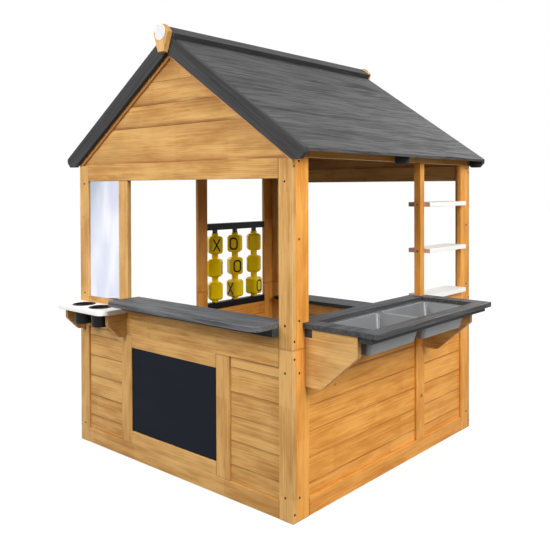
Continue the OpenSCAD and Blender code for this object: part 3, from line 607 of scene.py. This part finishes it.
def grey_wood(name, light, dark, deepest, arris_highlight, spread, gloss, swirl):
    """Grey stain or paint over softwood: long streaks, bent by slow swirls, with finer dark pores.
    The streaks show through as a low relief, and arrises are a little paler as a painted highlight."""

    def recipe(at):
        log = at.stored("log")
        arris_highlight_and_groove = at.stored("arris_highlight_and_groove", "Fac")
        x, y, z = log.parts()
        bend = (log * (2.2, 7.0, 7.0)).noise(3.0)
        wave = (log * (9.0, 20.0, 20.0)).noise(2.0)
        bent = x.whole(y + bend * 0.07 * swirl + wave * 0.006 * swirl, z)
        grain = (bent * (4.5, 75.0, 75.0)).noise(4.0)
        broad = (bent * (2.2, 13.0, 13.0)).noise(3.0)
        lines = (bent * (6.0, 190.0, 190.0)).noise(3.0)
        pores = (bent * (22.0, 700.0, 700.0)).noise(2.0)
        depth = (grain * 1.1 + broad * 0.7 + lines * 1.3 + pores * 0.5) * spread
        colour = (depth + 0.5).rise(0.0, 1.0).over(paint(light), paint(dark))
        smudge = ((grain + broad * 0.9) * spread).rise(0.24, 0.5)
        colour = (smudge * 0.8).over(colour, paint(deepest))
        # Painted highlight on the outer arrises.
        colour = (arris_highlight_and_groove * 0.5).over(colour, paint(arris_highlight))
        return {"Base Color": colour, "Roughness": grain * 0.35 + gloss, "Specular IOR Level": 0.15,
                "Normal": (grain * 1.2 + pores * 0.5).bump(0.0006)}

    return finish(name, recipe)


roof_stain = grey_wood("roof_stain", "#575757", "#363636", "#1E1E1E", "#686868", 1.6, 0.7, 1.0)


def roof_panel(node, side):
    """The panel's section, a plumb-cut sloping strip, carried from the front to the back. Its
    grain is worked out again along the slope, and each panel comes from its own place in the log."""
    low, high = box_of(node)
    x = eave_x if side > 0 else 2 * ridge_x - eave_x
    foot = apex - (eave_x - ridge_x) * roof_fall
    section = [(ridge_x, apex), (x, foot), (x, foot - roof_drop), (ridge_x, apex - roof_drop)]
    made = sawn(section, low[1], high[1], "y", (0, 1, 0), 0.0015, 0.0008)
    points = made["points"]
    down = points @ (side * math.cos(pitch), 0, -math.sin(pitch))
    over = points @ (side * math.sin(pitch), 0, math.cos(pitch))
    made["log"] = np.stack([points[:, 1], down, over], -1) + (3 * side, 0.03 * side, 0)
    return made


for node, side in (("left_roof_panel", -1), ("right_roof_panel", 1)):
    piece(node + "_sheet", [roof_panel(node, side)], roof_stain, node)

# ---------------- bargeboards and rafters
# Dark painted boards on edge close the roof's ends; their feet are level and their toes bevelled.
# A shallower board runs under the middle of each slope, lapped over the side wall's top rail.
dark_paint = grey_wood("dark_paint", "#3E3E3F", "#2C2C2D", "#1E1E1F", "#4C4C4D", 1.0, 0.62, 0.25)
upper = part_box("front_upper_frame")[1]
wall_top, half_house = upper.z, upper.x - ridge_x
barge_depth = 0.060
barge_drop = barge_depth / math.cos(pitch)
toe = 0.019
notch_depth = 0.0352
gap = 0.0002
wall_thickness = 0.018


def slope_outline(side, top_drop, notch=None):
    """Down the roof line to the eave, round the bevelled toe and level foot, round the notch that
    a rafter has over the side wall, and back under."""
    reach, foot_z = eave_x - ridge_x, wall_top - toe / 3
    foot_x = half_house + (wall_top - foot_z) / roof_fall
    line = [(0, apex - top_drop), (reach, apex - reach * roof_fall - top_drop), (reach, foot_z + toe),
            (reach - toe, foot_z), (foot_x, foot_z)]
    if notch:
        outer, inner = half_house + gap, half_house - wall_thickness - gap
        line += [(outer, foot_z + (foot_x - outer) * roof_fall), (outer, notch), (inner, notch),
                 (inner, wall_top + (half_house - inner) * roof_fall)]
    line += [(0, apex - barge_drop)]
    return [(ridge_x + side * x, z) for x, z in line]


def slope_board(node, side, top_drop, notch=None):
    """One piece: the slope outline through the board's thickness, with its grain down the slope."""
    low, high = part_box(node)
    grain = (side * math.cos(pitch), 0, -math.sin(pitch))
    made = sawn(slope_outline(side, top_drop, notch), low.y, high.y, "y", grain, 0.0008, 0.0015)
    piece(node + "_sawn", [made], dark_paint, node)


for name, side in (("left", -1), ("right", 1)):
    for end in ("front", "back"):
        slope_board(f"{end}_{name}_bargeboard", side, 0)
    slope_board(f"{name}_mid_rafter", side, roof_drop, wall_top + notch_depth)

# ---------------- ridge boards
# Two dark painted boards lie on the roof panels along the ridge, one on each slope. They are
# mitred where they meet.
width, thick = 0.048, 0.022
for name, side in (("left", -1), ("right", 1)):
    node = f"{name}_ridge_board"
    low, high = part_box(node)
    foot = np.array([ridge_x + side * width * math.cos(pitch), apex - width * math.sin(pitch)])
    lift = thick * np.array([side * math.sin(pitch), math.cos(pitch)])
    section = [(ridge_x, apex), tuple(foot), tuple(foot + lift), (ridge_x, apex + thick / math.cos(pitch))]
    piece(node + "_sawn", [sawn(section, low.y, high.y, "y", (0, 1, 0), 0.0015, 0.001)],
          dark_paint, node)

# ---------------- finials
# A shaped wooden pendant covers the joint at each end of the ridge. The front one carries a plain
# white disc.
half_end = 0.015
for node in ("front_finial", "back_finial"):
    low, high = box_of(node)
    shoulder = high[2] - 0.027
    line = [(ridge_x - half_end, high[2]), (ridge_x + half_end, high[2]), (high[0], shoulder),
            (ridge_x + half_end, low[2]), (ridge_x - half_end, low[2]), (low[0], shoulder)]
    piece(node + "_sawn", [sawn(line, low[1], high[1], "y", (0, 0, 1), 0.003, 0.003, steps=4)],
          front_stain, node)


def turned(profile, centre, segments=48, axis="z"):
    """A turned shape: each profile point (radius, height) is carried round the centre's axis, and
    a flat face closes each end."""
    p = np.asarray(profile, float)
    g = np.arange(segments) * 2 * np.pi / segments
    level = np.broadcast_to(p[:, 1:], (len(p), segments))
    points = np.stack([p[:, :1] * np.cos(g), p[:, :1] * np.sin(g), level], -1).reshape(-1, 3)
    first, last = list(range(segments)), list(range((len(p) - 1) * segments, len(p) * segments))
    faces = [first[::-1]] + rings(len(p), segments) + [last]
    if axis == "-y":
        points = points[:, [0, 2, 1]] * (1, -1, 1)
    return {"points": points + np.asarray(centre, float), "faces": faces}


def moulded(name, colour, shade, gloss=0.35, shine=0.5):
    """Injection moulded plastic: a faint flow mottle in the colour and a fine spark-eroded skin."""

    def recipe(at):
        spot = at.spot()
        mottle = (spot * (14.0, 14.0, 9.0)).noise(3.0)
        skin = (spot * (1400.0, 1400.0, 1400.0)).noise(1.0)
        return {"Base Color": (mottle + 0.5).rise(0.1, 0.9).over(paint(colour), paint(shade)),
                "Roughness": mottle * 0.12 + gloss, "Normal": skin.bump(0.00008),
                "Specular IOR Level": shine}

    return finish(name, recipe)


low, high = box_of("finial_disc")
radius, chamfer, border, thick = (high[0] - low[0]) / 2, 0.0008, 0.004, 0.002
sunk = thick - 0.0004
profile = [(radius - border, 0), (radius, 0), (radius, thick - chamfer), (radius - chamfer, thick),
           (radius - border, thick), (radius - border - 0.0005, sunk), (radius * 0.3, sunk)]
piece("plain_disc", [turned(profile, (ridge_x, high[1], (low[2] + high[2]) / 2), axis="-y")],
      moulded("disc_plastic", "#E4E5E8", "#DBDDE1", 0.4), "finial_disc")

# ---------------- serving counter
# A grey painted board passes through the front opening and stands proud on both sides; its outer
# corners are rounded. A dark batten carries it along the wall.
counter_paint = grey_wood("counter_paint", "#6C6D6F", "#444547", "#2D2E2F", "#76777A", 1.4, 0.6, 0.4)


def counter(node, corner, stain):
    """The counter's plan with two corners rounded, carried through its thickness."""
    low, high = box_of(node)
    made = sawn(oblong(low, high), low[2], high[2], "z", (1, 0, 0), np.array(corner), 0.0025, steps=4)
    piece(node + "_board", [made], stain, node)


def batten(name, node):
    """A dark painted batten on edge under a counter."""
    piece(name, [board(*corners_of(node)[0])], dark_paint, node)


counter("serving_counter", (0.035, 0.035, 0.0, 0.0), counter_paint)
batten("serving_counter_batten", "serving_counter_ledger")

# ---------------- cup tray
# A board with two round holes, painted white all over, hangs beside the counter on a pair of
# wooden brackets. Black cups drop into the holes and hang by their rims.


def white_paint(at):
    """Two coats of white over a fine grain; cut ends let the pinkish wood show through."""
    log = at.stored("log")
    _, _, end = at.stored("end").parts()
    grain, fine = (log * (3.0, 80.0, 80.0)).noise(3.0), (log * (30.0, 900.0, 900.0)).noise()
    colour = (grain + 0.5).rise(0.15, 0.9).over(paint("#FAFAF6"), paint("#F2F0E9"))
    bare = (fine * 1.2 + grain + 0.4).over(paint("#D9B9A6"), paint("#C49C88"))
    return {"Base Color": (end * 0.85).over(colour, bare), "Roughness": grain * 0.25 + 0.45,
            "Normal": (grain + fine * 0.5).bump(0.0003)}


white = finish("white_paint", white_paint)
low, high = box_of("cup_tray")
cups = {name: box_of(name) for name in ("left_cup", "right_cup")}
around = np.arange(64) * 2 * np.pi / 64
hole_radius = 0.040
circle = hole_radius * np.stack([np.cos(around), np.sin(around)], -1)
holes = [(a + b)[:2] / 2 + circle for a, b in cups.values()]
tray = sawn(oblong(low, high), low[2], high[2], "z", (1, 0, 0), np.array([0.038, 0.038, 0.0, 0.0]),
            0.003, holes, 4)
tray["end"] *= 0
piece("cup_tray_board", [tray], white, "cup_tray")


def tray_bracket(low, high):
    """The bracket's side view: a level top, a short nose and a slanted foot."""
    drop = high[2] - low[2]
    nose = drop * 0.45
    line = [(high[1], high[2]), (low[1], high[2]), (low[1], high[2] - nose), (low[1] + drop - nose, low[2]),
            (high[1], low[2])]
    return sawn(line, low[0], high[0], "x", (0, 1, 0), np.array([0, 0.002, 0.012, 0.008, 0]), 0.0015)


piece("cup_tray_brackets_sawn", [tray_bracket(*c) for c in corners_of("cup_tray_brackets")],
      front_stain, "cup_tray_brackets")

# ---------------- cups
# Two black moulded cups that lift out, with a tapered wall and a rolled rim that rests on the
# tray. The floor is a little thicker at the middle.
cup_skin = moulded("cup_plastic", "#08090D", "#050609", 0.45, 0.2)
rim, top, foot, wall, hub, roll, rim_height = 0.0455, 0.039, 0.034, 0.0025, 0.006, 0.0012, 0.0025


def cup_profile(deep):
    """Radius and height, with 0 at the rim's underside: out over the foot, up the outside, round
    the rolled rim and down the inside. The roll's points are (rim - roll + roll * sin a,
    roll - roll * cos a)."""
    lip = [(rim - roll + roll * math.sin(a), roll - roll * math.cos(a)) for a in np.linspace(0, np.pi, 9)]
    outside = [(hub, -deep), (foot - 0.004, -deep), (foot - 0.0012, 0.0012 - deep), (foot, 0.005 - deep),
               (top, -0.001), (top + 0.0006, 0.0)]
    inside = [(top + 0.001, rim_height), (top - 0.0008, 0.0018), (top - wall, 0.0),
              (foot - wall, 0.009 - deep), (foot - wall - 0.001, 0.0052 - deep),
              (foot - wall - 0.004, wall - deep), (hub, wall - deep + 0.0003)]
    return outside + lip + inside


for name, (low, high) in cups.items():
    seat = high[2] - rim_height
    made = turned(cup_profile(seat - low[2]), (*(low + high)[:2] / 2, seat), 56)
    piece(name + "_moulded", [made], cup_skin, name, name, 50)

# ---------------- sink counter
# A grey painted frame round the basins lies on a dark ledger at the wall and is stiffened by an
# apron under its outer rail. A tongue of the board passes through the opening as a sill.
sink_paint = grey_wood("sink_paint", "#525253", "#323234", "#222223", "#626264", 1.4, 0.5, 0.4)
low, high = box_of("sink_counter")
wall_x = ridge_x + half_house
near_low = box_of("near_basin")[0]
far_high = box_of("far_basin")[1]
play, stile, overlap, rail = 0.001, 0.060, 0.0312, 0.054
post_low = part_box("shelf_post")[0].y - gap
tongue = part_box("sink_wall_upper_frame")[0].y + stile + gap
start, stop = tongue - overlap, far_high[1] + play + rail
line = [(wall_x, start), (high[0], start), (high[0], stop), (wall_x, stop), (wall_x, post_low),
        (low[0], post_low), (low[0], tongue), (wall_x, tongue)]
corner = np.array([0.0, 0.005, 0.005, 0.0, 0.0, 0.0, 0.0, 0.0])
cut = oblong(near_low - play, far_high + play)
made = sawn(line, low[2], high[2], "z", (0, 1, 0), corner, 0.002, [cut], 4)
piece("sink_counter_frame", [made], sink_paint, "sink_counter")
batten("sink_counter_ledger_batten", "sink_counter_ledger")
batten("sink_counter_apron_batten", "sink_counter_apron")

# ---------------- sink brackets
# Two wooden brackets on the wall carry the sink counter. Each is notched round the ledger and
# tapers from a deep nose to a narrow foot.
ledger_low, ledger_high = box_of("sink_counter_ledger")
notch_x, notch_z = ledger_high[0] + gap, ledger_low[2] - gap
nose, foot = 0.065, 0.067
for node in ("near_sink_bracket", "far_sink_bracket"):
    low, high = box_of(node)
    line = [(low[0], notch_z), (notch_x, notch_z), (notch_x, high[2]), (high[0], high[2]),
            (high[0], high[2] - nose), (low[0] + foot, low[2]), (low[0], low[2])]
    corner = np.array([0, 0, 0, 0.002, 0.002, 0.003, 0])
    piece(node + "_sawn", [sawn(line, low[1], high[1], "y", (1, 0, 0), corner, 0.0015)],
          front_stain, node)

# ---------------- basins
# Two moulded grey basins lie with their flanges on the ledger and the apron. Each wall leans
# inwards to a filleted floor, so a light line stands in every upright corner.
basin_skin = moulded("basin_plastic", "#7B7C7D", "#727374", 0.3)


def squares(half, corner, count):
    """Rounded rectangles round the origin: half sizes less the corner radius, with the corner's sign,
    plus the radius times (cos a, sin a). Each corner takes this many points."""
    g = np.linspace(0, np.pi / 2, count)
    g = np.concatenate([g + k * np.pi / 2 for k in range(4)])
    sign = np.stack([np.repeat([1, -1, -1, 1], count), np.repeat([1, 1, -1, -1], count)], -1)
    radius = corner[:, None, None]
    return (half[:, None] - radius) * sign + radius * np.stack([np.cos(g), np.sin(g)], -1)


def basin(node):
    """Rounded rectangles (half sizes, corner radius, height, 1 on the bowl) joined from the flange's
    underside over its rim and down the inside to the floor, then from the underside of the floor
    up the outside to the flange. Fillets move in by r * (1 - cos a) and up by r * (1 - sin a)."""
    low, high = box_of(node)
    middle = (low + high) / 2
    half = (high - low)[:2] / 2
    bowl_low, bowl_high = ledger_high[0] + play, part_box("sink_counter_apron")[0].x - play
    side = np.array([(bowl_high - bowl_low) / 2, half[1] - 0.009])
    shift = (bowl_low + bowl_high) / 2 - middle[0]
    lean, wall, ease, lip, fillet = 0.016, 0.0025, 0.0006, 0.003, 0.010
    top, floor_z = high[2], low[2] + wall
    a = np.linspace(0, np.pi / 2, 7)
    rows = [(half - ease, lip, top - lip, 0), (half, lip, top - lip + ease, 0), (half, lip, top - ease, 0),
            (half - ease, lip, top, 0)]
    rows += [(side - wall + lip * (1 - np.sin(t)), 0.0135, top - lip * (1 - np.cos(t)), 1) for t in a[:-1]]
    straight = top - floor_z - lip - fillet
    rows += [(side - wall - lean * s, 0.0125 - 0.0015 * s, top - lip - straight * s, 1)
             for s in np.linspace(0, 1, 5)]
    rows += [(side - wall - lean - fillet * (1 - np.cos(t)), 0.012, floor_z + fillet * (1 - np.sin(t)), 1)
             for t in a[1:]]
    rows += [(side * 0.35, fillet, floor_z - 0.0001, 1)]
    bowl = len(rows)
    rows += [(side * 0.35, fillet, low[2], 1)]
    rows += [(side - lean - fillet * (1 - np.cos(t)), 0.013, low[2] + fillet * (1 - np.sin(t)), 1)
             for t in a[::-1]]
    rows += [(side, 0.0135, top - lip - 0.0002, 1)]
    size = np.array([r[0] for r in rows])
    corner, height, inner = (np.array([r[i] for r in rows]) for i in (1, 2, 3))
    ring = squares(size, corner, 7) + middle[:2]
    ring[..., 0] += shift * inner[:, None]
    n = ring.shape[1]
    points = np.dstack([ring, np.broadcast_to(height[:, None], ring.shape[:2])]).reshape(-1, 3)
    faces = rings(bowl, n) + [list(range((bowl - 1) * n, bowl * n))]
    faces += [list(range(bowl * n, (bowl + 1) * n))[::-1]] + rings(len(rows) - bowl, n, bowl * n)
    last = (len(rows) - 1) * n
    faces += [[last + i, last + (i + 1) % n, (i + 1) % n, i] for i in range(n)]
    return {"points": points, "faces": faces}


for node in ("near_basin", "far_basin"):
    piece(node + "_moulded", [basin(node)], basin_skin, node, node, 50)

# ---------------- shelves
# Three white boards between the square post and the far stile. The lowest is notched round the
# end of the sink counter. Their cut ends are bare.
shelf_parts = []
for k, (low, high) in enumerate(sorted(corners_of("shelves"), key=lambda c: c[0][2])):
    if k == 0:
        line = [(low[0], low[1]), (wall_x - gap, low[1]), (wall_x - gap, stop + gap), (high[0], stop + gap),
                (high[0], high[1]), (low[0], high[1])]
        shelf_parts.append(sawn(line, low[2], high[2], "z", (0, 1, 0), 0.0, 0.0015))
    else:
        shelf_parts.append(board(low, high))
piece("shelf_boards", shelf_parts, white, "shelves")

# ---------------- back counter
# The back opening has a painted counter like the front one, lower down. Its paint is a darker
# copy of the counter paint, painted shade for the dim back. It lies on a batten of its own, and
# its rounded corners stand outside.
# Painted shade: a darker copy of the counter paint.
back_shaded_paint = grey_wood("back_shaded_paint", "#36393C", "#222528", "#18191B", "#46494C", 1.2, 0.5, 0.4)
counter("back_counter", (0.0, 0.0, 0.035, 0.035), back_shaded_paint)
batten("back_counter_batten", "back_counter_ledger")

# ---------------- game bars and rods
# Two nearly black bars span the bay beside the doorway. Three dark steel rods stand in them, each
# with a sleeve that fills the gap over its tumblers.
bar_paint = grey_wood("bar_paint", "#1B1819", "#131112", "#0D0C0C", "#2C2728", 0.8, 0.42, 0.4)
bars = sorted(corners_of("game_bars"), key=lambda c: c[0][2])
piece("game_bars_planed", [board(*c, corner=0.0025) for c in bars], bar_paint, "game_bars")


def drawn_steel(at):
    """Dark lacquered steel with the fine rings that turning leaves, rubbed brighter in patches."""
    spot = at.spot()
    lines, patches = (spot * (30.0, 30.0, 2400.0)).noise(), (spot * (60.0, 60.0, 18.0)).noise(3.0)
    colour = (patches + 0.5).rise(0.3, 0.8).over(paint("#2B2A2C"), paint("#47464A"))
    return {"Base Color": colour, "Metallic": 0.7, "Roughness": patches * 0.3 + lines * 0.1 + 0.36,
            "Normal": lines.bump(0.00004)}


steel = finish("rod_steel", drawn_steel)
sleeve_foot, sleeve_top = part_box("tumbler_1_1")[1].z + 0.0003, bars[1][0][2]
rod, rod_ease, sleeve_ease = 0.004, 0.0005, 0.0008
rods = []
for low, high in corners_of("game_rods"):
    sleeve = (high[0] - low[0]) / 2
    profile = [(rod - rod_ease, low[2]), (rod, low[2] + rod_ease), (rod, sleeve_foot),
               (sleeve - sleeve_ease, sleeve_foot), (sleeve, sleeve_foot + sleeve_ease),
               (sleeve, sleeve_top - sleeve_ease), (sleeve - sleeve_ease, sleeve_top), (rod, sleeve_top),
               (rod, high[2] - rod_ease), (rod - rod_ease, high[2])]
    rods.append(turned(profile, (*(low + high)[:2] / 2, 0), 32))
piece("game_rods_turned", rods, steel, "game_rods", sharp=30)

# ---------------- tumblers
# Nine yellow moulded tumblers turn on the rods. Each is a rounded square block with a round
# collar above and below. Black paint fills a shallow X on one face and an O on the opposite one.
# Their turns are in degrees, column by column, from the highest tumbler down.
tumbler_turns = ((-28, 218, -122), (127, 157, -84), (52, 39, 188))


def tumbler_form(height):
    """A closed section is carried round the rod in rounded squares. Up to the collar their corner
    radius is half their width, so that they are round. It is 9 mm where the shoulder begins and
    18 mm, a quarter of the width, at the block's faces."""
    bore, collar, neck, block, shoulder = 0.00408, 0.017, 0.014, 0.036, 0.009
    side = [(bore, 0), (collar, 0), (collar, neck), (block - shoulder, neck), (block, neck + shoulder)]
    section = side + [(r, height - z) for r, z in side[::-1]]
    bends = [0.0003, 0.0015, 0.0012, 0.0015, 0.003]
    profile, _ = rounded(section, np.array(bends + bends[::-1]), 5)
    half, level = profile[:, 0], profile[:, 1:]
    corner = np.interp(half, [0, collar, block - shoulder, block], [0, collar, 0.009, 0.018])
    ring = squares(half[:, None], corner, 13)
    points = np.dstack([ring, np.broadcast_to(level, ring.shape[:2])]).reshape(-1, 3)
    faces = np.array(rings(len(profile) + 1, ring.shape[1])) % len(points)
    return points, faces.tolist()


def marked_plastic(at):
    """Yellow moulded plastic. "own" is the place on the tumbler: across, along and up. The X is
    where both diagonals come within half a stroke, and the O is a band along a rounded frame."""
    own = at.stored("own")
    side, y, z = own.parts()
    y, z = abs(y), abs(z)
    face, wide, tall, edge = 0.035, 0.0165, 0.030, 0.0005
    slope = math.hypot(wide, tall)
    off = abs(y * (tall / slope) - z * (wide / slope))
    along = y * (wide / slope) + z * (tall / slope)
    stroke = 0.0039
    cross = off.rise(stroke, stroke - edge) * along.rise(slope + edge, slope)
    cross = cross * side.rise(face - 0.001, face)
    bend, straight_y, straight_z, band = 0.015, 0.0025, 0.013, 0.0044
    out_y = at.sum("MAXIMUM", y - straight_y, 0.0)
    out_z = at.sum("MAXIMUM", z - straight_z, 0.0)
    from_frame = abs((out_y * out_y + out_z * out_z) ** 0.5 - bend)
    nought = from_frame.rise(band, band - edge) * side.rise(0.001 - face, -face)
    ink = cross + nought
    mottle, skin = (own * (24.0, 24.0, 14.0)).noise(3.0), (own * (1500.0, 1500.0, 1500.0)).noise(1.0)
    plain = (mottle + 0.5).rise(0.2, 0.8).over(paint("#FFE400"), paint("#FAD500"))
    return {"Base Color": ink.over(plain, paint("#0E0B12")), "Roughness": ink * 0.12 + mottle * 0.1 + 0.3,
            "Normal": (skin * 0.2 - ink).bump(0.0004), "Specular IOR Level": 0.2}


tumbler_skin = finish("tumbler_plastic", marked_plastic)
for column, turns in enumerate(tumbler_turns, 1):
    for row, turn in enumerate(turns, 1):
        node = f"tumbler_{column}_{row}"
        low, high = box_of(node)
        height = high[2] - low[2]
        own, faces = tumbler_form(height)
        c, s = math.cos(math.radians(turn)), math.sin(math.radians(turn))
        points = own @ np.array([[c, s, 0], [-s, c, 0], [0, 0, 1]]) + (*(low + high)[:2] / 2, low[2])
        made = {"points": points, "faces": faces, "own": own - (0, 0, height / 2)}
        piece(node + "_moulded", [made], tumbler_skin, node, node, 50)

# ---------------- screws
# The visible screws have pan heads of blackened zinc with a drive recess, and hold the wall
# panels together. Their CAD solids are kept, under this finish.


def blackened(at):
    """Black zinc, worn to grey in small spots."""
    spot = at.spot()
    spots = (spot * (260.0, 260.0, 260.0)).noise(3.0)
    return {"Base Color": spots.rise(0.05, 0.3).over(paint("#242425"), paint("#4C4B4A")), "Metallic": 0.6,
            "Roughness": spots * 0.4 + 0.42, "Normal": spots.bump(0.00008)}


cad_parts["screws"].material_slots[0].material = finish("screw_zinc", blackened)
